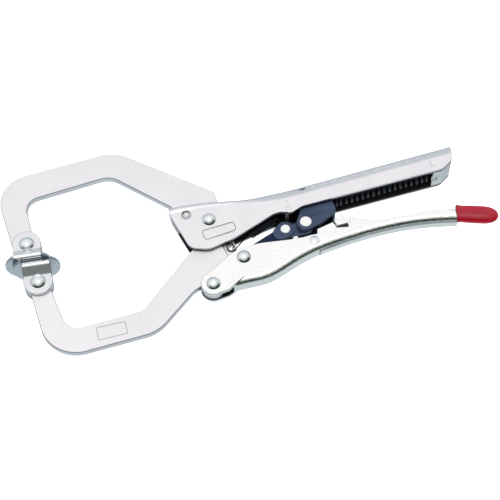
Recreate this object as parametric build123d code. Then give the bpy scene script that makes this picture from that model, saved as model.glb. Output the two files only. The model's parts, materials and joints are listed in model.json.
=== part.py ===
from build123d import *
import math
import os

# Self-adjusting C-clamp locking pliers with swivel pads, lying on one side.
# Millimetres. While a piece is shaped, the origin is the main jaw pivot on the jaws' middle plane:
# +X runs rearward along the spine of the upper handle, +Y towards the upper handle, +Z is up.
# The last lines shift everything so that the origin is the bottom centre of the whole tool.

# ---- driving dimensions ----
JAW_T = 3.5          # both C-jaws are plates of this thickness
SIDE_GAP = 0.25      # between the lower jaw and the sheet on each side of it
SHEET = 1.9          # upper handle sheet
LOW_SHEET = 1.8      # lower handle sheet
HUB_R = 7.0          # lower jaw hub round the main pivot
SEAT_R = 7.35        # concave seat in the fixed jaw round that hub
HEAD_R = 3.35        # domed rivet heads
HEAD_H = 1.9
SHANK_R = 2.1
LOCATOR_R = 2.35
PIN_CLEAR = 0.05     # radial clearance of a pin in a hole that turns on it

MAIN = (0.0, 0.0)            # main pivot
LOCATOR = (-9.4, 5.6)        # recessed rivet that fixes the upper jaw
HINGE = (-7.9, -33.1)        # lower jaw to lower handle
TOGGLE = (9.3, -24.5)        # toggle link to lower handle
KNEE = (32.5, -15.4)         # toggle link to locking pawl
SLIDE = (42.3, -15.8)        # pawl to slider
LEVER = (43.0, -26.3)        # release lever to lower handle
PAD_UP = (-84.2, 13.4)       # pad pins
PAD_LOW = (-83.8, -7.5)
HOOK = (6.0, -16.1)          # hole for the return spring in the lower jaw
ANCHOR = (36.5, -5.0)        # cross bar for the far end of that spring

FRONT_HALF = JAW_T / 2 + SIDE_GAP + SHEET    # half-width of the upper handle at the jaws
REAR_HALF = 7.6                              # and behind them
LOW_EAR_HALF = JAW_T / 2 + SIDE_GAP + LOW_SHEET
LOW_HALF = 4.7
LOW_BEND = 2.7               # outer bend radius of the lower handle's sheet
LINK_HALF = 2.55
SLIDER_HALF = 5.2
LEVER_HALF = 2.4
SPRING_Y = -4.0              # axis of the adjusting spring
SPRING_R = 4.0
SPRING_WIRE = 0.8
SLIDER_REAR = 58.0
SEAT_X = 108.4               # front face of the spring seat
CAP_T = 1.6

PAD_TILT = 8.0               # the pad faces lean by this many degrees
PAD_R = 11.0
PAD_T = 1.6
PAD_H = 9.85                 # from the pad pin to the clamping face
CLIP_T = 1.35
CLIP_EAR_R = 6.7
CLIP_HALF = 6.4              # half-width of the clip at its beads
BEAD_R = 1.85                # rolled beads along the clip's two folds
PAD_HEAD_R = 3.6


# ---- helpers ----
def prism(outline, half, low=None):
    """A flat outline made into a plate between z = low (or -half) and half."""
    bottom = -half if low is None else low
    return Pos(0, 0, bottom) * extrude(outline, half - bottom)


def rounded(corners):
    """A closed outline from corners (x, y, radius); radius 0 keeps the corner sharp."""
    face = make_face(Polyline(*[(x, y) for x, y, r in corners], close=True))
    for x, y, r in corners:
        if r > 0:
            face = fillet(face.vertices().sort_by_distance((x, y, 0))[0], r)
    return face


def disc_at(point, radius):
    return Pos(*point) * Circle(radius)


def pin(point, radius, half, low=None):
    return prism(disc_at(point, radius), half, low)


def dome(radius, height):
    """A rivet head: a spherical cap on the plane z = 0."""
    ball = (radius ** 2 + height ** 2) / (2 * height)
    return Pos(0, 0, height - ball) * Sphere(ball) & Pos(0, 0, height / 2) * Box(3 * radius, 3 * radius, height)


def rivet(point, shank_r, half, head_r=HEAD_R, head_h=HEAD_H):
    """A rivet across the tool with a domed head on each face at z = +half and -half."""
    head = Pos(0, 0, half) * dome(head_r, head_h)
    return Pos(*point) * (Pos(0, 0, -half) * extrude(Circle(shank_r), 2 * half)
                          + head + Rot(180, 0, 0) * head)


def coil(radius, wire, pitch, length):
    """A round-wire compression or tension spring along +X from x = 0."""
    turns = Helix(pitch, length, radius)
    section = Plane(origin=turns @ 0, z_dir=turns % 0) * Circle(wire)
    return Rot(0, 90, 0) * sweep(section, path=turns)


def along(start, end):
    """A location at start with its X axis towards end, in the middle plane."""
    angle = math.degrees(math.atan2(end[1] - start[1], end[0] - start[0]))
    return Pos(*start) * Rot(0, 0, angle)


# ---- jaws ----
def fixed_jaw():
    outline = rounded([
        (-90.9, 14.0, 0), (-91.4, 50.9, 15), (-32.1, 51.5, 19), (5.0, 17.0, 1.5),
        (7.1, 15.0, 1.2), (7.1, 2.0, 0), (0, 0, 0),
        (-7.3, -0.6, 0), (-13.2, 0.6, 1.5), (-14.8, 13.2, 0), (-37.6, 38.5, 10),
        (-79.6, 37.1, 7), (-80.4, 15.0, 0), (-80.4, 9.0, 0), (-90.9, 9.0, 0),
    ])
    ear_trim = Pos(-85.7, 6.5) * Rectangle(16, 13.8)
    outline = outline - ear_trim + disc_at(PAD_UP, CLIP_EAR_R - 0.3)
    outline = outline - disc_at(MAIN, SEAT_R) - disc_at(PAD_UP, SHANK_R + PIN_CLEAR)
    return prism(outline - disc_at(LOCATOR, LOCATOR_R), JAW_T / 2)


def lower_jaw():
    outline = rounded([
        (-88.5, -10.0, 0), (-88.3, -47.6, 17), (-38.4, -48.2, 18),
        (-17.4, -33.4, 0), (-13.5, -32.0, 0), (-11.5, -37.8, 4), (-4.0, -38.0, 4),
        (-1.5, -31.0, 3), (2.6, -24.0, 2), (3.6, -20.0, 1.0), (8.0, -14.0, 0), (6.9, 0.0, 0),
        (0, 5.0, 0), (-6.7, -1.8, 0), (-10.6, -11.2, 3), (-42.3, -35.9, 9),
        (-77.1, -35.3, 7), (-79.3, -10.0, 0),
    ])
    outline = outline - Pos(-84.0, -4.0) * Rectangle(16, 13.2) + disc_at(PAD_LOW, CLIP_EAR_R - 0.3)
    outline = outline + disc_at(MAIN, HUB_R) + disc_at(HINGE, 5.3)
    holes = disc_at(MAIN, SHANK_R + 0.3 + PIN_CLEAR) + disc_at(HINGE, SHANK_R + PIN_CLEAR)
    plate = prism(outline - holes - disc_at(PAD_LOW, SHANK_R + PIN_CLEAR), JAW_T / 2)
    # the lug for the return spring is pressed thinner than the jaw
    lug = rounded([(1.8, -13.0, 0), (3.2, -20.2, 1), (5.0, -20.4, 1), (8.2, -17.4, 1.5), (8.2, -12.6, 0)])
    hub_side = disc_at(MAIN, HUB_R + 5)
    relief = lug - hub_side
    plate = plate - prism(relief, JAW_T, 0.85) - prism(relief, -0.85, -JAW_T)
    plate = plate + prism(lug, 0.85)
    return plate - pin(HOOK, 1.25, JAW_T)


# ---- upper handle ----
def blend_up(x, start, end):
    """0 before start, 1 after end, smooth between."""
    t = min(max((x - start) / (end - start), 0.0), 1.0)
    return t * t * (3 - 2 * t)


def spine_y(x):
    """Height of the spine along the handle."""
    return 11.6 - 8.6 * blend_up(x, -14.0, 41.0)


def channel_section(x, inset):
    """Cross-section of the channel at x, drawn closed at the bottom; inset 0 is the outside."""
    grow = blend_up(x, 6.0, 38.0)
    side = FRONT_HALF + (REAR_HALF - FRONT_HALF) * grow - inset
    top = spine_y(x) - inset
    flat = max(0.5 + (5.1 - 0.5) * grow - inset * 0.55, 0.35)
    shoulder = spine_y(x) - 3.4 - 1.7 * grow - inset * 0.25
    bulge = 0.29 * (side - flat) * (1 - grow) + 0.12
    middle = ((side + flat) / 2 + bulge, (top + shoulder) / 2 + bulge * (side - flat) / (top - shoulder))
    right = ThreePointArc((side, shoulder), middle, (flat, top))
    left = ThreePointArc((-flat, top), (-middle[0], middle[1]), (-side, shoulder))
    wire = (Line((-side, -24), (side, -24)) + Line((side, -24), (side, shoulder)) + right
            + Line((flat, top), (-flat, top)) + left + Line((-side, shoulder), (-side, -24)))
    return Plane(origin=(x, 0, 0), x_dir=(0, 0, 1), z_dir=(-1, 0, 0)) * make_face(wire)


def channel(inset):
    stations = [-18.0, -6.0, 2.0, 6.0, 12.0, 18.0, 24.0, 30.0, 36.0, 41.0]
    front = loft([channel_section(x, inset) for x in stations])
    rear = loft([channel_section(x, inset) for x in (41.0, 124.0)], ruled=True)
    return front + rear


def upper_handle():
    outline = rounded([
        (-16.2, 20.0, 0), (-16.4, 6.6, 3), (-12.6, -12.0, 5), (-4.6, -15.2, 7), (6.5, -13.6, 12),
        (29.0, -8.0, 6), (32.5, -8.2, 3), (37.3, -10.3, 1.5), (43.0, -8.4, 4), (70.0, -8.9, 0),
        (113.0, -9.1, 5), (119.5, -5.4, 4), (122.0, 3.5, 0), (122.0, 20.0, 0),
    ])
    shell = channel(0) & prism(outline, 20)
    shell = shell - (channel(SHEET) & prism(Pos(50, 0) * Rectangle(160, 60), 19))
    slot = prism(rounded([(-20, 4.0, 0), (7.1, 4.0, 0), (7.1, 20.0, 0), (-20, 20.0, 0)]), JAW_T / 2)
    shell = shell - slot
    for x in [46.4 + 5.25 * i for i in range(12)]:
        notch = Pos(x, 0.75, 6.2) * Rot(-26.1, 0, 0) * Box(2.1, 0.9, 0.9)
        shell = shell - notch - mirror(notch, Plane.XY)
    tab = Pos(SEAT_X + CAP_T / 2, -4.6) * Rectangle(CAP_T, 3.2)
    holes = pin(MAIN, SHANK_R + 0.3, 12) + pin(LOCATOR, LOCATOR_R, 12)
    holes = holes + prism(Pos(*ANCHOR) * Rectangle(1.7, 2.9), 12) + prism(tab, 12)
    shell = shell - holes
    return shell


def locating_rivet():
    """Flush rivet with a round dish pressed in each end."""
    body = pin(LOCATOR, LOCATOR_R, FRONT_HALF - 0.1)
    for side in (1, -1):
        body = body - Pos(LOCATOR[0], LOCATOR[1], side * (FRONT_HALF - 0.1 + 1.7)) * Sphere(2.8)
    return body


def end_cap():
    """Curved closure of the channel's rear end, with the seat of the adjusting spring."""
    inner = REAR_HALF - SHEET
    outer = rounded([
        (SEAT_X, -9.0, 0), (113.0, -9.1, 5), (119.5, -5.4, 4), (121.0, 0.2, 0), (SEAT_X, 0.2, 0)])
    hollow = rounded([
        (SEAT_X + CAP_T, -7.5, 0.5), (112.6, -7.6, 3.6), (118.0, -4.6, 2.8), (119.3, 0.2, 0),
        (SEAT_X + CAP_T, 0.2, 0)])
    cap = prism(outer - hollow, inner)
    bevel_cut = Pos(115, 1.9, inner + 0.85) * Rot(27, 0, 0) * Box(20, 12, 3.4)
    cap = cap - bevel_cut - mirror(bevel_cut, Plane.XY)
    tab = Pos(SEAT_X + CAP_T / 2, -4.6) * Rectangle(CAP_T, 3.2)
    window = prism(Pos(SEAT_X + 0.8, -9.0) * Rectangle(4.0, 1.6), 1.6)
    return cap + prism(tab, REAR_HALF + 0.15) - window


def spring_guide():
    rod = Pos(60.0, SPRING_Y, 0) * Rot(0, 90, 0) * extrude(Circle(2.1), SEAT_X - 60.0)
    return chamfer(rod.edges().sort_by(Axis.X)[0], 0.5)


# ---- slider, pawl and toggle ----
def slider():
    lug = rounded([
        (42.3, -20.0, 0), (47.6, -19.0, 2), (56.8, -15.2, 1.0), (58.0, -13.4, 1), (58.0, -2.0, 0),
        (41.9, -2.0, 0), (41.9, -9.0, 0), (38.9, -13.2, 0),
    ]) + disc_at(SLIDE, 4.2)
    cheeks = prism(lug, SLIDER_HALF) - prism(Pos(46.5, -15) * Rectangle(19, 40), 3.2)
    head_face = Plane.YZ * make_face(Polyline(
        (-12.5, -SLIDER_HALF), (-2.6, -SLIDER_HALF), (0.6, -3.0), (0.6, 3.0),
        (-2.6, SLIDER_HALF), (-12.5, SLIDER_HALF), close=True))
    head = Pos(41.9, 0, 0) * extrude(head_face, SLIDER_REAR - 41.9)
    cavity = prism(Pos(47.0, -10.0) * Rectangle(18, 17.0), 3.2)
    body = cheeks + (head - cavity)
    body = body - Pos(54.0, SPRING_Y, 0) * Rot(0, 90, 0) * extrude(Circle(2.5), 8)
    body = body - prism(Pos(45.6, 0) * Rectangle(5.6, 6), 1.15)
    return body - pin(SLIDE, 2.0, 8)


def locking_pawl():
    outline = rounded([
        (29.9, -18.0, 2.4), (44.6, -19.2, 2.6), (46.4, -15.0, 1), (45.6, -6.0, 1),
        (47.4, 0.7, 0.3), (45.0, -0.9, 0.2), (43.6, 0.7, 0.3), (42.6, -4.0, 1), (39.6, -12.6, 2),
        (30.0, -12.4, 2.4),
    ])
    return prism(outline - disc_at(KNEE, 1.6 + 0.7) - disc_at(SLIDE, 2.0), 0.85)


def toggle_link():
    bar = make_hull(disc_at(TOGGLE, 4.2).edges() + disc_at((29.6, -16.5), 2.6).edges())
    boss = make_hull(disc_at(KNEE, 4.2).edges() + disc_at((29.6, -16.6), 3.5).edges())
    link = prism(bar, 1.9) + prism(boss, LINK_HALF + 0.35) + pin(TOGGLE, 4.2, LINK_HALF)
    fork = prism(rounded([(25.0, -22, 0), (40, -22, 0), (40, -9, 0), (27.0, -9, 0)]), 1.15)
    link = link - fork - pin(TOGGLE, SHANK_R + PIN_CLEAR, 6)
    return link - pin(KNEE, 1.6, 6)


def flat_pin(point, shank_r, face, head_r, head_t):
    """A pin with flat, lightly chamfered heads on both faces."""
    body = pin(point, shank_r, face)
    for low, high in ((face, face + head_t), (-face - head_t, -face)):
        head = pin(point, head_r, high, low)
        rim = head.faces().sort_by(Axis.Z)[-1 if low > 0 else 0].edges()
        body = body + chamfer(rim, 0.15)
    return body


# ---- lower handle and release lever ----
LOW_FLOOR = [
    (0.6, -37.2), (9.0, -37.4), (17.8, -37.5), (24.5, -35.9), (33.8, -32.9), (44.4, -30.6),
    (59.6, -29.5), (79.4, -29.6), (98.5, -32.2), (110.6, -35.3),
]


def low_floor(lift):
    return Spline(*[(x, y + lift) for x, y in LOW_FLOOR])


def lower_handle():
    ear_top = Spline((-9.4, -27.5), (-3.7, -24.9), (3.8, -21.3), (11.0, -19.7), (25.5, -21.0), (42.0, -22.9))
    steps = Polyline(
        (42.0, -22.9), (45.4, -23.2), (46.2, -20.8), (54.5, -19.4), (55.2, -22.8), (60.4, -24.0),
        (62.7, -19.1), (64.0, -19.3))
    rear_top = Spline((64.0, -19.3), (70.4, -23.0), (78.0, -25.3), (90.0, -26.3), (105.6, -28.4), (111.2, -30.9))
    front = Polyline((0.6, -37.2), (-2.0, -38.4), (-7.9, -38.9), (-9.4, -27.5))
    end = Line((111.2, -30.9), (110.6, -35.3))
    side = make_face(ear_top + steps + rear_top + end + low_floor(0) + front)
    side = side + disc_at(HINGE, 5.8)
    plan = rounded([
        (-20, -LOW_EAR_HALF, 0), (-2.4, -LOW_EAR_HALF, 6), (2.6, -LOW_HALF, 6), (120, -LOW_HALF, 0),
        (120, LOW_HALF, 0), (2.6, LOW_HALF, 6), (-2.4, LOW_EAR_HALF, 6), (-20, LOW_EAR_HALF, 0)])
    ear_in, wall_in = LOW_EAR_HALF - LOW_SHEET, LOW_HALF - LOW_SHEET
    inside = rounded([
        (-21, -ear_in, 0), (-2.2, -ear_in, 6), (2.8, -wall_in, 6), (121, -wall_in, 0),
        (121, wall_in, 0), (2.8, wall_in, 6), (-2.2, ear_in, 6), (-21, ear_in, 0)])
    outer = prism(side, LOW_HALF)
    bends = [e for e in outer.edges() if e.center().Y < -29.5 and e.bounding_box().size.X > 90]
    outer = fillet(bends, LOW_BEND) & (Pos(0, -60, 0) * extrude(Plane.XZ * plan, -60))
    above = make_face(low_floor(LOW_SHEET) + Polyline(
        (110.6, -35.3 + LOW_SHEET), (125, -30), (125, 0), (-30, 0), (-30, -50), (0.6, -50),
        (0.6, -37.2 + LOW_SHEET)))
    shell = outer - (prism(above, 10) & (Pos(0, -60, 0) * extrude(Plane.XZ * inside, -60)))
    # raised grip rib along the bottom of the channel
    rib_low = Spline(*[(x, y - 0.5) for x, y in LOW_FLOOR[5:]])
    rib_top = Spline(*[(x, y + 0.6) for x, y in LOW_FLOOR[5:]])
    rib = make_face(rib_low + rib_top + Line(rib_low @ 0, rib_top @ 0) + Line(rib_low @ 1, rib_top @ 1))
    shell = shell + prism(rib, 1.95)
    for point in (HINGE, TOGGLE):
        shell = shell - pin(point, SHANK_R, 12)
    return shell - pin(LEVER, 1.5, 12)


def lever_outline():
    top = Polyline(
        (40.4, -25.0), (42.0, -23.6), (52.0, -23.4), (56.2, -20.6), (55.3, -17.3), (60.3, -15.3),
        (62.2, -18.8), (61.4, -21.4), (66.0, -23.6), (78.0, -25.2))
    tail_top = Spline((78.0, -25.2), (90.0, -25.4), (104.0, -27.4), (112.4, -28.0))
    tip = Polyline((112.4, -28.0), (128.0, -34.0), (126.6, -37.6), (111.0, -31.6))
    under = Spline((111.0, -31.6), (98.5, -29.7), (79.4, -27.3), (59.6, -27.1), (46.0, -28.2))
    front = Polyline((46.0, -28.2), (41.2, -28.2), (40.4, -25.0))
    return make_face(top + tail_top + tip + under + front) + disc_at(LEVER, 2.35)


def tongue():
    """The narrow tail of the release lever, which the sleeve covers."""
    return prism(lever_outline() & (Pos(122.0, -30) * Rectangle(24, 30)), 1.3)


def release_lever():
    solid = prism(lever_outline(), LEVER_HALF)
    hollow = prism(Pos(80.0, -28.9) * Rot(0, 0, -2) * Rectangle(36, 5.4), 1.3)
    tail = prism(Pos(122.0, -30) * Rectangle(22.0, 30), 8)
    return solid - hollow - tail + tongue() - pin(LEVER, 1.5 + PIN_CLEAR, 8)


def release_sleeve():
    """Soft dipped sleeve on the tail of the release lever."""
    axis = (112.0, -30.1)
    frame = Pos(*axis) * Rot(0, 0, -21)
    body = frame * prism(Pos(10.2, 0) * RectangleRounded(20.4, 9.2, 3.4), 3.0)
    body = fillet(body.edges().filter_by(lambda e: abs(abs(e.center().Z) - 3.0) < 0.01), 2.2)
    return body - prism(Pos(110.0, -30) * Rectangle(3.4, 30), 8) - tongue()


# ---- pads ----
def pad_frame(pad_pin, up):
    """Location of a pad: local +Y points from its pin towards the clamping face."""
    turn = 180 - PAD_TILT if up else -PAD_TILT
    return Pos(*pad_pin) * Rot(0, 0, turn)


def pad_clip():
    """Bent clip astride the jaw's ear, open towards the jaw; local +Y is the clamping direction.

    Each cheek leans outward to a rolled bead, and the two beads stand just behind the clamping face."""
    ear_in = JAW_T / 2 + SIDE_GAP
    base_y = PAD_H - PAD_T - CLIP_T / 2
    bead = (PAD_H - 0.25 - BEAD_R, ear_in + CLIP_T + 1.7)
    profile = Pos(base_y, 0) * Rectangle(CLIP_T, 2 * bead[1])
    for side in (1, -1):
        cheek = Pos(-1.7, side * (ear_in + CLIP_T / 2)) * Rectangle(10.6, CLIP_T)
        fold = disc_at((3.6, side * (ear_in + CLIP_T / 2)), CLIP_T / 2)
        roll = disc_at((bead[0], side * bead[1]), BEAD_R)
        profile = profile + cheek + make_hull(fold.edges() + roll.edges())
    solid = Pos(-10, 0, 0) * extrude(Plane.YZ * profile, 20)
    outline = rounded([
        (-6.7, 0, 0), (-CLIP_HALF, 4.5, 3), (-CLIP_HALF, 12, 0), (CLIP_HALF, 12, 0), (CLIP_HALF, 4.5, 3),
        (6.7, 0, 0)])
    outline = outline + Circle(CLIP_EAR_R)
    return (solid & prism(outline, 12)) - pin((0, 0), SHANK_R, 12)


def pad_disc():
    """Round clamping plate, cut away at the two sides where the clip's beads stand."""
    face = Pos(0, PAD_H - PAD_T, 0) * Rot(-90, 0, 0) * extrude(Circle(PAD_R), PAD_T)
    face = fillet(face.edges().filter_by(GeomType.CIRCLE), 0.45)
    bead_side = Pos(0, PAD_H, 3.0 + PAD_R / 2) * Box(2 * CLIP_HALF + 0.2, 10, PAD_R)
    return face - bead_side - mirror(bead_side, Plane.XY)


# ---- springs ----
def return_spring():
    """Tension spring with a ring through the lower jaw's lug and a ring round the anchor bar."""
    span = math.dist(HOOK, ANCHOR)
    wire = 0.35
    near = Pos(1.25, 0, 0) * Rot(90, 0, 0) * Torus(1.75, wire)
    near = near + Pos(2.9, 0, 0) * Rot(0, 90, 0) * extrude(Circle(wire), 7.5)
    far = Pos(span, 0, 0) * Torus(2.15, wire)
    far = far + Pos(26.0, 0, 0) * Rot(0, 90, 0) * extrude(Circle(wire), span - 26.0 - 2.0)
    turns = Pos(10.5, 0, 0) * coil(1.9, 0.38, 1.35, 15.2)
    place = along(HOOK, ANCHOR)
    return Compound(children=[place * piece.solids()[0] for piece in (near, turns, far)])


clip = pad_clip()
disc = pad_disc()
pad_rivet = rivet((0, 0), SHANK_R, JAW_T / 2 + SIDE_GAP + CLIP_T, PAD_HEAD_R)

nodes = {
    "upper_handle": upper_handle(),
    "fixed_jaw": fixed_jaw(),
    "lower_jaw": lower_jaw(),
    "lower_handle": lower_handle(),
    "toggle_link": toggle_link(),
    "toggle_pin": flat_pin(KNEE, 1.6, LINK_HALF + 0.35, 2.3, 0.35),
    "slider": slider(),
    "slider_pin": flat_pin(SLIDE, 2.0, SLIDER_HALF, 2.75, 0.4),
    "locking_pawl": locking_pawl(),
    "release_lever": release_lever(),
    "release_sleeve": release_sleeve(),
    "main_pivot_rivet": rivet(MAIN, SHANK_R + 0.3, FRONT_HALF),
    "jaw_locating_rivet": locating_rivet(),
    "handle_hinge_rivet": rivet(HINGE, SHANK_R, LOW_EAR_HALF),
    "toggle_rivet": rivet(TOGGLE, SHANK_R, LOW_HALF),
    "lever_rivet": rivet(LEVER, 1.5, LOW_HALF, 2.4, 0.7),
    "end_cap": end_cap(),
    "spring_guide": spring_guide(),
    "spring_anchor_bar": prism(Pos(*ANCHOR) * Rectangle(1.7, 2.9), REAR_HALF - 0.25),
    "adjusting_spring": Pos(SLIDER_REAR + 0.8, SPRING_Y, 0) * coil(
        SPRING_R, SPRING_WIRE, 2.8, SEAT_X - SLIDER_REAR - 1.6),
    "return_spring": return_spring(),
    "upper_pad_clip": pad_frame(PAD_UP, True) * clip,
    "upper_pad_disc": pad_frame(PAD_UP, True) * disc,
    "upper_pad_rivet": pad_frame(PAD_UP, True) * pad_rivet,
    "lower_pad_clip": pad_frame(PAD_LOW, False) * clip,
    "lower_pad_disc": pad_frame(PAD_LOW, False) * disc,
    "lower_pad_rivet": pad_frame(PAD_LOW, False) * pad_rivet,
}

boxes = [part.bounding_box() for part in nodes.values()]
low = [min(box.min.to_tuple()[i] for box in boxes) for i in range(3)]
high = [max(box.max.to_tuple()[i] for box in boxes) for i in range(3)]
shift = Location((-(low[0] + high[0]) / 2, -(low[1] + high[1]) / 2, -low[2]))

os.makedirs("parts", exist_ok=True)
for name, part in nodes.items():
    export_step(shift * part, f"parts/{name}.step")
    print(name, "solids", len(part.solids()))
print("shift", shift.position)
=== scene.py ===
import bpy
import json
import math
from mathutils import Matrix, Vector


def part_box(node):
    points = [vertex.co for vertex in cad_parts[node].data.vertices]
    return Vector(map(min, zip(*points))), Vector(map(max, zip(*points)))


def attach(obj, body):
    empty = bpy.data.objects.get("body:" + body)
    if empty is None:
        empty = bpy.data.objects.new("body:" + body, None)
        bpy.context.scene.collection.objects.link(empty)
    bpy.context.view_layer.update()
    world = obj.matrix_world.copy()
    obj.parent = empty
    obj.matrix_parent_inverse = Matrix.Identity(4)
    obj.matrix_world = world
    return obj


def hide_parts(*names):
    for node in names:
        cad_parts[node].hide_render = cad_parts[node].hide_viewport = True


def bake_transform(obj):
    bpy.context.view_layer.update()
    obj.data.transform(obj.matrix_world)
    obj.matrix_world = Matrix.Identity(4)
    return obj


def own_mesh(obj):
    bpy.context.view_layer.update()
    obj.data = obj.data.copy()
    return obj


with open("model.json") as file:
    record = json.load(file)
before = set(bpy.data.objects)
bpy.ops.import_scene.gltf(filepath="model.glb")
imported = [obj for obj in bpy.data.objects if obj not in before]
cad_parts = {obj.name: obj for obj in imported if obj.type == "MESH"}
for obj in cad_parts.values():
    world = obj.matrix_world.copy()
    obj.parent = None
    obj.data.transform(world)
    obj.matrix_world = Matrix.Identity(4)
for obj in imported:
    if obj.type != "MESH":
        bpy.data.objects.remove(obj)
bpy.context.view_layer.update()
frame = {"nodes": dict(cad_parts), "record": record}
MM = 0.001


def middle(node):
    """Centre of a node's box."""
    low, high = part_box(node)
    return (Vector(low) + Vector(high)) / 2


# All pieces below are placed from the main pivot on the jaws' middle plane, in millimetres.
PIVOT = middle("main_pivot_rivet")


def at(x, y, z=0.0):
    """A place in the row frame from millimetres off the main pivot."""
    return PIVOT + Vector((x, y, z)) * MM


# ---------------------------------------------------------------- materials
class Nodes:
    """A small helper that builds a node tree by name."""

    def __init__(self, name):
        self.mat = bpy.data.materials.new(name)
        self.mat.use_nodes = True
        self.tree = self.mat.node_tree
        self.tree.nodes.clear()
        self.out = self.add("ShaderNodeOutputMaterial")
        self.bsdf = self.add("ShaderNodeBsdfPrincipled")
        self.link(self.bsdf, "BSDF", self.out, "Surface")

    def add(self, kind, **values):
        node = self.tree.nodes.new(kind)
        for key, value in values.items():
            setattr(node, key, value)
        return node

    def link(self, a, output, b, entry):
        self.tree.links.new(a.outputs[output], b.inputs[entry])

    def coords(self, scale=(1, 1, 1), turn=(0, 0, 0)):
        source = self.add("ShaderNodeTexCoord")
        mapping = self.add("ShaderNodeMapping")
        mapping.inputs["Scale"].default_value = scale
        mapping.inputs["Rotation"].default_value = turn
        self.link(source, "Object", mapping, "Vector")
        return mapping

    def noise(self, scale, detail=3.0, rough=0.5, stretch=(1, 1, 1), turn=(0, 0, 0)):
        tex = self.add("ShaderNodeTexNoise")
        tex.inputs["Scale"].default_value = scale
        tex.inputs["Detail"].default_value = detail
        tex.inputs["Roughness"].default_value = rough
        self.link(self.coords(stretch, turn), "Vector", tex, "Vector")
        return tex

    def ramp(self, source, output, stops):
        ramp = self.add("ShaderNodeValToRGB")
        while len(ramp.color_ramp.elements) < len(stops):
            ramp.color_ramp.elements.new(0.5)
        for element, (place, color) in zip(ramp.color_ramp.elements, stops):
            element.position = place
            element.color = tuple(color) + (1.0,)
        self.link(source, output, ramp, "Fac")
        return ramp

    def range(self, source, output, low, high, out_low, out_high):
        node = self.add("ShaderNodeMapRange")
        node.inputs["From Min"].default_value = low
        node.inputs["From Max"].default_value = high
        node.inputs["To Min"].default_value = out_low
        node.inputs["To Max"].default_value = out_high
        self.link(source, output, node, "Value")
        return node

    def mix(self, fac, a, b, blend="MIX"):
        """Mixes two colours. Each is a colour or a (node, output) pair, and fac a number or such a pair."""
        node = self.add("ShaderNodeMix", data_type="RGBA", blend_type=blend)
        if isinstance(fac, (int, float)):
            node.inputs[0].default_value = fac
        else:
            self.tree.links.new(fac[0].outputs[fac[1]], node.inputs[0])
        for entry, value in ((6, a), (7, b)):
            if isinstance(value[0], (int, float)):
                node.inputs[entry].default_value = tuple(value) + (1.0,)
            else:
                self.tree.links.new(value[0].outputs[value[1]], node.inputs[entry])
        return node

    def color_from(self, node, output):
        self.link(node, output, self.bsdf, "Base Color")

    def color_mix(self, node):
        self.tree.links.new(node.outputs[2], self.bsdf.inputs["Base Color"])

    def bump(self, source, output, strength, distance):
        node = self.add("ShaderNodeBump")
        node.inputs["Strength"].default_value = strength
        node.inputs["Distance"].default_value = distance
        self.link(source, output, node, "Height")
        last = getattr(self, "last_bump", None)
        if last:
            self.link(last, "Normal", node, "Normal")
        self.last_bump = node
        self.link(node, "Normal", self.bsdf, "Normal")
        return node

    def set(self, **values):
        for key, value in values.items():
            self.bsdf.inputs[key.replace("_", " ")].default_value = value


def plated(name, light, dark, rough, grain, metallic=1.0, peel=0.10, ripple=0.0):
    """Nickel or zinc plate on stamped steel: faint cloudiness, fine grain and a soft orange peel."""
    n = Nodes(name)
    cloud = n.noise(45.0, 4.0, 0.6)
    fine = n.noise(2600.0, 2.0, 0.6)
    streak = n.noise(500.0, 3.0, 0.6, stretch=(0.12, 1.0, 1.0))
    base = n.ramp(cloud, "Fac", [(0.30, dark), (0.72, light)])
    speck = n.ramp(fine, "Fac", [(0.35, [c * 0.93 for c in light]), (0.65, light)])
    both = n.mix(0.35, (base, "Color"), (speck, "Color"), "MULTIPLY")
    n.color_mix(both)
    low = n.range(streak, "Fac", 0.3, 0.7, rough - 0.05, rough + 0.06)
    n.link(low, "Result", n.bsdf, "Roughness")
    n.set(Metallic=metallic)
    n.bump(cloud, "Fac", peel, 0.0006)
    if ripple:
        mottle = n.noise(1100.0, 3.0, 0.6)
        n.bump(mottle, "Fac", ripple, 0.00035)
    n.bump(fine, "Fac", grain, 0.00008)
    return n.mat


def blued(name):
    """Matt dark blue finish with faint draw marks, worn paler at the edges."""
    n = Nodes(name)
    cloud = n.noise(130.0, 4.0, 0.6)
    fine = n.noise(1900.0, 3.0, 0.6)
    streak = n.noise(700.0, 4.0, 0.6, stretch=(0.1, 1.0, 1.0), turn=(0, 0, 0.3))
    color = n.ramp(cloud, "Fac", [(0.25, (0.006, 0.011, 0.032)), (0.75, (0.014, 0.025, 0.064))])
    wear = n.ramp(streak, "Fac", [(0.55, (0.016, 0.027, 0.068)), (0.85, (0.055, 0.082, 0.15))])
    geo = n.add("ShaderNodeNewGeometry")
    edge = n.range(geo, "Pointiness", 0.505, 0.58, 0.0, 0.8)
    mixed = n.mix(0.35, (color, "Color"), (wear, "Color"))
    final = n.mix((edge, "Result"), (mixed, 2), (0.12, 0.17, 0.27))
    n.color_mix(final)
    rough = n.range(fine, "Fac", 0.3, 0.7, 0.36, 0.52)
    n.link(rough, "Result", n.bsdf, "Roughness")
    n.set(Metallic=0.75)
    n.bump(fine, "Fac", 0.12, 0.0001)
    return n.mat


def black_spring(name, low=(0.006, 0.007, 0.010), high=(0.018, 0.021, 0.032)):
    """Dull oxide of one tone: spring wire, and in paler tones the ink and the stamped outlines. On the return
    spring the darkest tone is painted shade.
    """
    n = Nodes(name)
    fine = n.noise(900.0, 3.0, 0.6)
    color = n.ramp(fine, "Fac", [(0.3, low), (0.75, high)])
    n.color_from(color, "Color")
    rough = n.range(fine, "Fac", 0.3, 0.7, 0.34, 0.52)
    n.link(rough, "Result", n.bsdf, "Roughness")
    n.set(Metallic=0.3, Coat_Weight=0.08, Coat_Roughness=0.3)
    n.bump(fine, "Fac", 0.1, 0.0001)
    return n.mat


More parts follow.
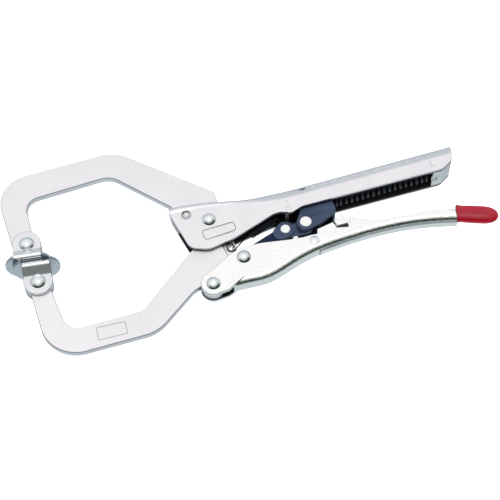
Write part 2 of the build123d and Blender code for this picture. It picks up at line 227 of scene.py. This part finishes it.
def vinyl(name):
    """Glossy dipped vinyl, slightly wavy along the lever."""
    n = Nodes(name)
    cloud = n.noise(90.0, 3.0, 0.5)
    ripple = n.noise(260.0, 3.0, 0.55, stretch=(1.0, 0.35, 0.35), turn=(0, 0, -0.36))
    color = n.ramp(cloud, "Fac", [(0.3, (0.34, 0.002, 0.015)), (0.7, (0.50, 0.005, 0.028))])
    n.color_from(color, "Color")
    rough = n.range(cloud, "Fac", 0.3, 0.7, 0.16, 0.24)
    n.link(rough, "Result", n.bsdf, "Roughness")
    n.set(Subsurface_Weight=0.06, Subsurface_Scale=0.001, Coat_Weight=0.10, Coat_Roughness=0.15, IOR=1.45)
    n.bsdf.inputs["Specular IOR Level"].default_value = 0.45
    n.bump(ripple, "Fac", 0.10, 0.0006)
    return n.mat


SATIN = plated("satin nickel", (0.91, 0.89, 0.905), (0.83, 0.815, 0.83), 0.36, 0.20)
BRIGHT = plated("bright nickel", (0.97, 0.97, 0.955), (0.92, 0.925, 0.91), 0.20, 0.05, peel=0.16, ripple=0.50)
ZINC = plated("zinc plate", (0.74, 0.78, 0.81), (0.60, 0.65, 0.69), 0.30, 0.10)
CLIP = plated("clip zinc", (0.90, 0.90, 0.91), (0.80, 0.81, 0.83), 0.15, 0.06)
CAP = plated("cap zinc", (0.98, 0.98, 0.98), (0.66, 0.69, 0.71), 0.30, 0.20, peel=0.30, ripple=0.55)
RIVET = plated("rivet steel", (0.93, 0.94, 0.95), (0.83, 0.85, 0.87), 0.13, 0.05)
PIN = plated("pin steel", (0.97, 0.97, 0.96), (0.92, 0.92, 0.92), 0.34, 0.10)
BLUED = blued("blued steel")
BLACK_WIRE_AND_SHADE = black_spring("spring black and painted shade")
VINYL = vinyl("red vinyl")
# Painted shade and reflection: a darker plate on the rounded edge strips, for the dark surroundings they
# mirror.
EDGE_SHADE = plated("painted edge shade", (0.46, 0.50, 0.53), (0.34, 0.37, 0.40), 0.32, 0.10)
DIMPLE = plated("dimple", (0.84, 0.85, 0.86), (0.62, 0.63, 0.64), 0.16, 0.08)
# Painted highlight: a pale, nearly diffuse plate for the glints in the spine's notches.
NOTCH_GLINT = plated("painted notch glint", (0.97, 0.98, 0.98), (0.93, 0.94, 0.95), 0.60, 0.10, metallic=0.2)
INK = black_spring("outline ink", (0.16, 0.15, 0.13), (0.24, 0.22, 0.20))
ETCH = black_spring("etched line", (0.34, 0.34, 0.36), (0.44, 0.44, 0.46))

BY_SLOT = {
    "satin_nickel": SATIN, "bright_nickel": BRIGHT, "blued_steel": BLUED, "spring_black": BLACK_WIRE_AND_SHADE,
    "zinc": ZINC, "rivet_steel": RIVET, "pin_steel": PIN, "red_vinyl": VINYL,
}


class Maths:
    """Short forms for chains of math nodes."""

    def __init__(self, tree):
        self.tree = tree

    def __call__(self, kind, a, b=0.0):
        node = self.tree.nodes.new("ShaderNodeMath")
        node.operation = kind
        for entry, value in ((0, a), (1, b)):
            if isinstance(value, (int, float)):
                node.inputs[entry].default_value = value
            else:
                self.tree.links.new(value, node.inputs[entry])
        return node.outputs[0]

    def smooth(self, value, low, high, out_low, out_high):
        node = self.tree.nodes.new("ShaderNodeMapRange")
        node.interpolation_type = "SMOOTHSTEP"
        limits = {"From Min": low, "From Max": high, "To Min": out_low, "To Max": out_high}
        for entry, number in limits.items():
            node.inputs[entry].default_value = number
        self.tree.links.new(value, node.inputs["Value"])
        return node.outputs["Result"]


def paint_shade_inside(name, base, mask_of):
    """The plated sheet outside, and painted shade, a dull dark colour, on the inside of a folded channel or
    in a shaded gap.

    mask_of gets the maths helper and the position and normal of a point, and gives 1 where it is inside."""
    mat = base.copy()
    mat.name = name
    tree = mat.node_tree
    shader = next(n for n in tree.nodes if n.type == "BSDF_PRINCIPLED")
    coord = tree.nodes.new("ShaderNodeTexCoord")
    place = tree.nodes.new("ShaderNodeSeparateXYZ")
    facing = tree.nodes.new("ShaderNodeSeparateXYZ")
    tree.links.new(coord.outputs["Object"], place.inputs[0])
    tree.links.new(coord.outputs["Normal"], facing.inputs[0])
    mask = mask_of(Maths(tree), place.outputs, facing.outputs)
    # Painted shade: where the mask gives 1, a dull dark colour, metallic and roughness replace the plate's
    # own.
    for entry, dark in (("Base Color", (0.020, 0.020, 0.023, 1.0)), ("Metallic", 0.3), ("Roughness", 0.42)):
        colour = entry == "Base Color"
        mix = tree.nodes.new("ShaderNodeMix")
        mix.data_type = "RGBA" if colour else "FLOAT"
        one, two, out = (6, 7, 2) if colour else (2, 3, 0)
        tree.links.new(mask, mix.inputs[0])
        socket = shader.inputs[entry]
        if socket.is_linked:
            tree.links.new(socket.links[0].from_socket, mix.inputs[one])
        else:
            mix.inputs[one].default_value = socket.default_value
        mix.inputs[two].default_value = dark
        tree.links.new(mix.outputs[out], socket)
    return mat


def inside_upper(maths, place, facing):
    """Nearer the middle plane than the middle of the sheet, which leans in with height at the spine."""
    off = maths("ABSOLUTE", maths("SUBTRACT", place["Z"], PIVOT.z))
    limit = maths.smooth(place["X"], PIVOT.x + 6 * MM, PIVOT.x + 38 * MM, 2.95 * MM, 6.65 * MM)
    rise = maths("MAXIMUM", maths("SUBTRACT", place["Y"], PIVOT.y - 2.3 * MM), 0.0)
    inner = maths("LESS_THAN", off, maths("SUBTRACT", limit, maths("MULTIPLY", rise, 0.47)))
    return maths("MULTIPLY", inner, maths("LESS_THAN", place["Y"], PIVOT.y + 1.9 * MM))


def inside_lower(maths, place, facing):
    """Between the walls of the lower handle, and not on its underside."""
    off = maths("ABSOLUTE", maths("SUBTRACT", place["Z"], PIVOT.z))
    limit = maths.smooth(place["X"], PIVOT.x - 2 * MM, PIVOT.x + 3 * MM, 2.1 * MM, 3.0 * MM)
    inner = maths("LESS_THAN", off, limit)
    return maths("MULTIPLY", inner, maths("GREATER_THAN", facing["Y"], -0.35))


def under_tab(maths, place, facing):
    """The shaded gap round the thumb tab of the release lever, where it dips into the lower handle."""
    x = maths("SUBTRACT", place["X"], PIVOT.x)
    y = maths("SUBTRACT", place["Y"], PIVOT.y)
    near = maths("MULTIPLY", maths("GREATER_THAN", x, 54.0 * MM), maths("LESS_THAN", x, 63.5 * MM))
    low = maths("LESS_THAN", y, -20.6 * MM)
    left = maths("MULTIPLY", maths("LESS_THAN", x, 55.9 * MM), maths("LESS_THAN", y, -17.2 * MM))
    return maths("MULTIPLY", near, maths("MAXIMUM", low, left))


SLOT_OF = {p["node"]: p["material_slot"] for p in frame["record"]["subparts"]}
# The channels' insides and the lever's face round its tab carry painted shade, not a finish of their own.
SPECIAL = {
    "upper_handle": paint_shade_inside("satin nickel with painted inner shade", SATIN, inside_upper),
    "lower_handle": paint_shade_inside("bright nickel with painted inner shade", BRIGHT, inside_lower),
    "release_lever": paint_shade_inside("bright nickel lever with painted tab shade", BRIGHT, under_tab),
    "upper_pad_clip": CLIP, "lower_pad_clip": CLIP, "end_cap": CAP, "jaw_locating_rivet": DIMPLE,
}
for name, node in frame["nodes"].items():
    node.data.materials.clear()
    node.data.materials.append(SPECIAL.get(name) or BY_SLOT[SLOT_OF[name]])


WELD_REACH = 0.000002
FLAT_ANGLE = math.radians(1.0)


def soften(node, width, angle=40, edge=None):
    """Rounds the sharp stamped edges of a CAD node; edge is the painted shade given to the rounded strip."""
    weld = node.modifiers.new("weld", "WELD")
    weld.merge_threshold = WELD_REACH
    flat = node.modifiers.new("flat faces", "DECIMATE")
    flat.decimate_type = "DISSOLVE"
    flat.angle_limit = FLAT_ANGLE
    bevel = node.modifiers.new("edges", "BEVEL")
    bevel.width = width * MM
    bevel.segments = 2
    bevel.limit_method = "ANGLE"
    bevel.angle_limit = math.radians(angle)
    bevel.use_clamp_overlap = False
    if edge:
        node.data.materials.append(edge)
        bevel.material = 1
    normals = node.modifiers.new("normals", "WEIGHTED_NORMAL")
    normals.weight = 80


for name in ("fixed_jaw", "lower_jaw"):
    soften(frame["nodes"][name], 0.32, edge=EDGE_SHADE)
for name in ("lower_handle", "upper_pad_clip", "lower_pad_clip", "release_lever"):
    soften(frame["nodes"][name], 0.22, edge=EDGE_SHADE)
for name in ("slider", "toggle_link"):
    soften(frame["nodes"][name], 0.22)
soften(frame["nodes"]["upper_handle"], 0.16, angle=19)


# ---------------------------------------------------------------- new pieces
def mesh_piece(name, points, faces, material, body, smooth=True):
    """A new visible piece, attached to body; body is None for a piece left on no body."""
    mesh = bpy.data.meshes.new(name)
    mesh.from_pydata([tuple(p) for p in points], [], faces)
    mesh.validate()
    for polygon in mesh.polygons:
        polygon.use_smooth = smooth
    mesh.materials.append(material)
    piece = bpy.data.objects.new(name, mesh)
    bpy.context.scene.collection.objects.link(piece)
    if body:
        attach(piece, body)
    return piece


def skin(rings, sides):
    """Faces that join rings of points one after another and close both ends."""
    faces = []
    for i in range(rings - 1):
        for k in range(sides):
            a, b = i * sides + k, i * sides + (k + 1) % sides
            faces.append((a, b, b + sides, a + sides))
    faces.append(tuple(range(sides))[::-1])
    faces.append(tuple(range((rings - 1) * sides, rings * sides)))
    return faces


def tube(path, radius, sides):
    """Points and faces of a round wire along a path, closed at both ends."""
    points = []
    side = None
    for i, here in enumerate(path):
        ahead = (path[min(i + 1, len(path) - 1)] - path[max(i - 1, 0)]).normalized()
        if side is None:
            side = ahead.orthogonal().normalized()
        side = (side - ahead * side.dot(ahead)).normalized()
        other = ahead.cross(side)
        for k in range(sides):
            turn = 2 * math.pi * k / sides
            points.append(here + (side * math.cos(turn) + other * math.sin(turn)) * radius)
    return points, skin(len(path), sides)


def adjusting_spring():
    """Eighteen turns between the slider and the seat, carried by the upper handle as one fixed wire."""
    start, end, radius, wire, turns = 58.8, 107.6, 4.0, 0.8, 18
    axis_y = -4.0
    steps = turns * 28
    pitches = []
    for i in range(steps + 1):
        from_end = min(i / steps, 1 - i / steps) * turns
        # the last turn at each end is wound closer
        pitches.append(0.62 if from_end < 1 else 1.0)
    total = sum(pitches)
    run, path = 0.0, []
    for i, pitch in enumerate(pitches):
        angle = 2 * math.pi * turns * i / steps
        x = start + wire + (end - start - 2 * wire) * run / total
        path.append(at(x, axis_y + radius * math.cos(angle), radius * math.sin(angle)))
        run += pitch
    points, faces = tube(path, wire * MM, 12)
    piece = mesh_piece("adjusting_spring_wire", points, faces, BLACK_WIRE_AND_SHADE, "upper_handle_body")
    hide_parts("adjusting_spring")
    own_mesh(piece)


def return_spring():
    """Light tension spring from the lug of the lower jaw to the cross bar."""
    hook, bar = Vector((6.0, -16.1, 0.0)), Vector((36.5, -5.0, 0.0))
    span = (bar - hook).length
    ahead = (bar - hook).normalized()
    across = Vector((0, 0, 1)).cross(ahead)
    up = Vector((0, 0, 1))

    def place(along, side, rise):
        return PIVOT + (hook + ahead * along + across * side + up * rise) * MM

    # through the lug's hole, then a hook that widens round it
    path = [place(0.5, -0.4, -1.4), place(0.5, -0.4, -0.4), place(0.5, -0.4, 0.6)]
    for i in range(31):
        turn = math.radians(-40 + 310 * i / 30)
        reach = 2.15 - 1.4 * (1 - i / 30) ** 4
        path.append(place(reach * math.cos(turn), reach * math.sin(turn), 1.2))
    path += [place(3.6, -1.2, 1.1), place(7.0, -0.2, 0.8), place(10.4, 0.0, 0.5)]
    # the coils
    coils, per_turn = 12, 14
    for i in range(coils * per_turn + 1):
        turn = 2 * math.pi * i / per_turn
        along = 11.2 + 13.4 * i / (coils * per_turn)
        path.append(place(along, 1.5 * math.sin(turn), 1.5 * math.cos(turn)))
    path.append(place(25.4, 0.0, 0.4))
    # the hook round the cross bar
    for i in range(25):
        turn = math.radians(180 - 330 * i / 24)
        path.append(place(span + 2.1 * math.cos(turn), 2.1 * math.sin(turn), 0.0))
    points, faces = tube(path, 0.3 * MM, 8)
    # Painted shade: the return spring gets the near-black wire finish because it lies in shade between the
    # handles.
    piece = mesh_piece("return_spring_wire", points, faces, BLACK_WIRE_AND_SHADE, None)
    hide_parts("return_spring")
    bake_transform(piece)


def sleeve():
    """Soft dipped sleeve: a lip at its mouth, a slight waist and a round nose."""
    mouth, lean = Vector((112.05, -30.12, 0.0)), math.radians(-21)
    ahead = Vector((math.cos(lean), math.sin(lean), 0.0))
    across = Vector((-math.sin(lean), math.cos(lean), 0.0))
    stations = [
        (0.25, 0.90), (0.00, 0.97), (0.30, 1.0), (1.0, 0.995), (1.9, 0.955), (3.2, 0.95), (5.0, 0.97),
        (8.0, 0.99), (11.0, 0.99),
    ]
    for i in range(1, 13):
        turn = math.radians(90 * i / 12)
        stations.append((13.0 + 7.1 * math.sin(turn), 0.99 * max(math.cos(turn), 0.02) ** 0.86))
    sides, points = 40, []
    for x, size in stations:
        for k in range(sides):
            turn = 2 * math.pi * k / sides
            c, d = math.cos(turn), math.sin(turn)
            tall = 4.45 * size * math.copysign(abs(c) ** 0.86, c)
            thick = 2.9 * size * math.copysign(abs(d) ** 0.86, d)
            points.append(PIVOT + (mouth + ahead * x + across * tall + Vector((0, 0, thick))) * MM)
    faces = skin(len(stations), sides)
    piece = mesh_piece("dipped_sleeve", points, faces, VINYL, "release_lever_body")
    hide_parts("release_sleeve")


def surface(node, x, y):
    """Height of a CAD node's near face at a place, above the main pivot, in millimetres."""
    heights = []
    for beside in (-1.2, 0.0, 1.2):
        place = frame["nodes"][node].ray_cast(at(x + beside, y, 30.0), Vector((0, 0, -1)))[1]
        heights.append((place.z - PIVOT.z) / MM)
    return max(heights)


def rounded_loop(corners, radius, steps=5):
    """A loop of points with its corners rounded."""
    loop = []
    count = len(corners)
    for i in range(count):
        here = Vector(corners[i])
        back = (Vector(corners[i - 1]) - here).normalized()
        fore = (Vector(corners[(i + 1) % count]) - here).normalized()
        for k in range(steps + 1):
            t = k / steps
            loop.append(here + back * radius * (1 - t) ** 2 + fore * radius * t ** 2)
    return loop


def line_mark(name, loop, width, node, material, body, closed=True, rise=0.03):
    """A thin drawn or stamped line that follows the near face of a CAD node."""
    points, faces = [], []
    count = len(loop)
    for i, here in enumerate(loop):
        last = loop[i - 1] if closed or i else here
        following = loop[(i + 1) % count] if closed or i < count - 1 else here
        ahead = (following - last).normalized()
        side = Vector((-ahead.y, ahead.x))
        for sign in (-0.5, 0.5):
            spot = here + side * width * sign
            points.append(at(spot.x, spot.y, surface(node, spot.x, spot.y) + rise))
    for i in range(count if closed else count - 1):
        a, b = 2 * i, 2 * ((i + 1) % count)
        faces.append((a, a + 1, b + 1, b))
    return mesh_piece(name, points, faces, material, body)


adjusting_spring()
return_spring()
sleeve()
bpy.context.view_layer.update()
badge = [(-5.0, -5.1), (10.4, -4.8), (10.4, -9.4), (-4.7, -10.3)]
line_mark("badge_outline", rounded_loop(badge, 1.4), 0.30, "upper_handle", INK,
          "upper_handle_body", rise=0.05)
stamp = [(-64.6, -37.9), (-51.3, -38.7), (-51.8, -44.7), (-64.9, -44.2)]
line_mark("jaw_stamp_outline", rounded_loop(stamp, 0.3), 0.34, "lower_jaw", ETCH,
          "lower_jaw_body")
tab = ((35.2, -9.5), (35.3, -7.3), (35.6, -6.6), (36.3, -6.3), (37.0, -6.6), (37.3, -7.3), (37.3, -9.5))
line_mark("front_tab_outline", [Vector(spot) for spot in tab], 0.24, "upper_handle", ETCH,
          "upper_handle_body", closed=False)


def notch_glints():
    """Painted highlights: pale patches in the twelve notches pressed into the near bevel of the spine,
    standing for their glints.
    """
    pitch, depth, half_long, half_wide = 5.25, 0.15, 1.0, 0.4
    lean = math.radians(26.1)
    along = Vector((0, math.cos(lean), -math.sin(lean)))
    out = Vector((0, math.sin(lean), math.cos(lean)))
    points, faces = [], []
    for i in range(12):
        centre = Vector((46.4 + pitch * i, 0.75, 6.2)) - depth * out
        first = len(points)
        for dx, dy in ((-1, -1), (1, -1), (1, 1), (-1, 1)):
            points.append(at(*(centre + Vector((half_long * dx, 0, 0)) + along * half_wide * dy)))
        faces.append((first, first + 1, first + 2, first + 3))
    mesh_piece("notch_glints", points, faces, NOTCH_GLINT, "upper_handle_body", smooth=False)


notch_glints()

# ---------------------------------------------------------------- stage, light and camera
floor_mesh = bpy.data.meshes.new("floor")
floor_mesh.from_pydata([(-3, -3, 0), (3, -3, 0), (3, 3, 0), (-3, 3, 0)], [], [(0, 1, 2, 3)])
floor = bpy.data.objects.new("floor", floor_mesh)
bpy.context.scene.collection.objects.link(floor)
paper = Nodes("white paper")
fibre = paper.noise(400.0, 3.0, 0.5)
tone = paper.ramp(fibre, "Fac", [(0.2, (0.93, 0.93, 0.93)), (0.8, (0.96, 0.96, 0.96))])
paper.color_from(tone, "Color")
paper.set(Roughness=0.9, Emission_Color=(1.0, 1.0, 1.0, 1.0), Emission_Strength=0.95)
floor.visible_glossy = False
floor_mesh.materials.append(paper.mat)

world = bpy.data.worlds.new("studio")
bpy.context.scene.world = world
world.use_nodes = True


def studio_sky(tree):
    """A soft studio: a bright patch overhead, pale and grey-blue behind, and a dark room on the -Y side."""
    tree.nodes.clear()
    new, link = tree.nodes.new, tree.links.new
    coord = new("ShaderNodeTexCoord")
    split = new("ShaderNodeSeparateXYZ")
    link(coord.outputs["Generated"], split.inputs[0])
    height = new("ShaderNodeMapRange")
    height.inputs["From Min"].default_value = -1.0
    link(split.outputs["Z"], height.inputs["Value"])
    sides = []
    for stops in SKY_BACK, SKY_FRONT:
        ramp = new("ShaderNodeValToRGB")
        while len(ramp.color_ramp.elements) < len(stops):
            ramp.color_ramp.elements.new(0.5)
        for element, (z, color) in zip(ramp.color_ramp.elements, stops):
            element.position = (z + 1) / 2
            element.color = tuple(color) + (1.0,)
        link(height.outputs["Result"], ramp.inputs["Fac"])
        sides.append(ramp)
    turn = new("ShaderNodeMapRange")
    turn.interpolation_type = "SMOOTHSTEP"
    turn.inputs["From Min"].default_value = 0.35
    turn.inputs["From Max"].default_value = -0.55
    link(split.outputs["Y"], turn.inputs["Value"])
    mix = new("ShaderNodeMix")
    mix.data_type = "RGBA"
    link(turn.outputs["Result"], mix.inputs[0])
    link(sides[0].outputs["Color"], mix.inputs[6])
    link(sides[1].outputs["Color"], mix.inputs[7])
    path = new("ShaderNodeLightPath")
    seen = new("ShaderNodeMix")
    seen.data_type = "RGBA"
    link(path.outputs["Is Camera Ray"], seen.inputs[0])
    link(mix.outputs[2], seen.inputs[6])
    seen.inputs[7].default_value = (1.0, 1.0, 1.0, 1.0)
    shade = new("ShaderNodeBackground")
    link(seen.outputs[2], shade.inputs["Color"])
    out = new("ShaderNodeOutputWorld")
    link(shade.outputs[0], out.inputs["Surface"])


# Stops of (height of the direction, colour), from straight down to straight up.
SKY_BACK = [
    (-1.0, (0.62, 0.69, 0.73)), (-0.3, (0.50, 0.57, 0.61)), (0.0, (0.52, 0.59, 0.63)),
    (0.2, (0.62, 0.69, 0.73)), (0.5, (0.82, 0.85, 0.87)), (0.76, (0.97, 0.96, 0.97)),
    (0.955, (1.00, 1.00, 1.01)), (0.975, (2.2, 2.2, 2.2)), (1.0, (2.2, 2.2, 2.2)),
]
SKY_FRONT = [
    (-1.0, (0.66, 0.73, 0.76)), (-0.76, (0.62, 0.69, 0.72)), (-0.4, (0.26, 0.30, 0.30)),
    (-0.15, (0.026, 0.036, 0.026)), (0.42, (0.035, 0.046, 0.034)), (0.66, (0.42, 0.46, 0.42)),
    (0.88, (0.98, 0.98, 0.98)), (0.955, (1.00, 1.00, 1.01)), (0.975, (2.2, 2.2, 2.2)), (1.0, (2.2, 2.2, 2.2)),
]
studio_sky(world.node_tree)


def area_light(name, place, size, power):
    """A soft light aimed at the middle of the tool, which shows in no reflection."""
    data = bpy.data.lights.new(name, "AREA")
    data.shape = "RECTANGLE"
    data.size, data.size_y = size
    data.energy = power
    lamp = bpy.data.objects.new(name, data)
    lamp.location = place
    lamp.rotation_euler = (-Vector(place)).to_track_quat("-Z", "Y").to_euler()
    lamp.visible_glossy = False
    bpy.context.scene.collection.objects.link(lamp)


area_light("key", (-0.30, 0.10, 0.80), (0.25, 0.10), 1.0)
area_light("fill", (0.35, -0.40, 0.70), (0.30, 0.12), 0.7)

TARGET = at(13.9, -19.5)
AZ, EL, FAR = math.radians(-17.75), math.radians(60.0), 0.700
BACK = Vector((math.sin(AZ) * math.cos(EL), -math.cos(AZ) * math.cos(EL), math.sin(EL)))
cam_data = bpy.data.cameras.new("camera")
cam_data.sensor_width = 36.0
cam_data.lens = 108.6
cam_data.clip_start = 0.01
cam_data.clip_end = 20.0
camera = bpy.data.objects.new("camera", cam_data)
camera.location = TARGET + BACK * FAR
camera.rotation_mode = "QUATERNION"
camera.rotation_quaternion = (-BACK).to_track_quat("-Z", "Y")
bpy.context.scene.collection.objects.link(camera)
bpy.context.scene.camera = camera
bpy.context.scene.view_settings.view_transform = "Standard"
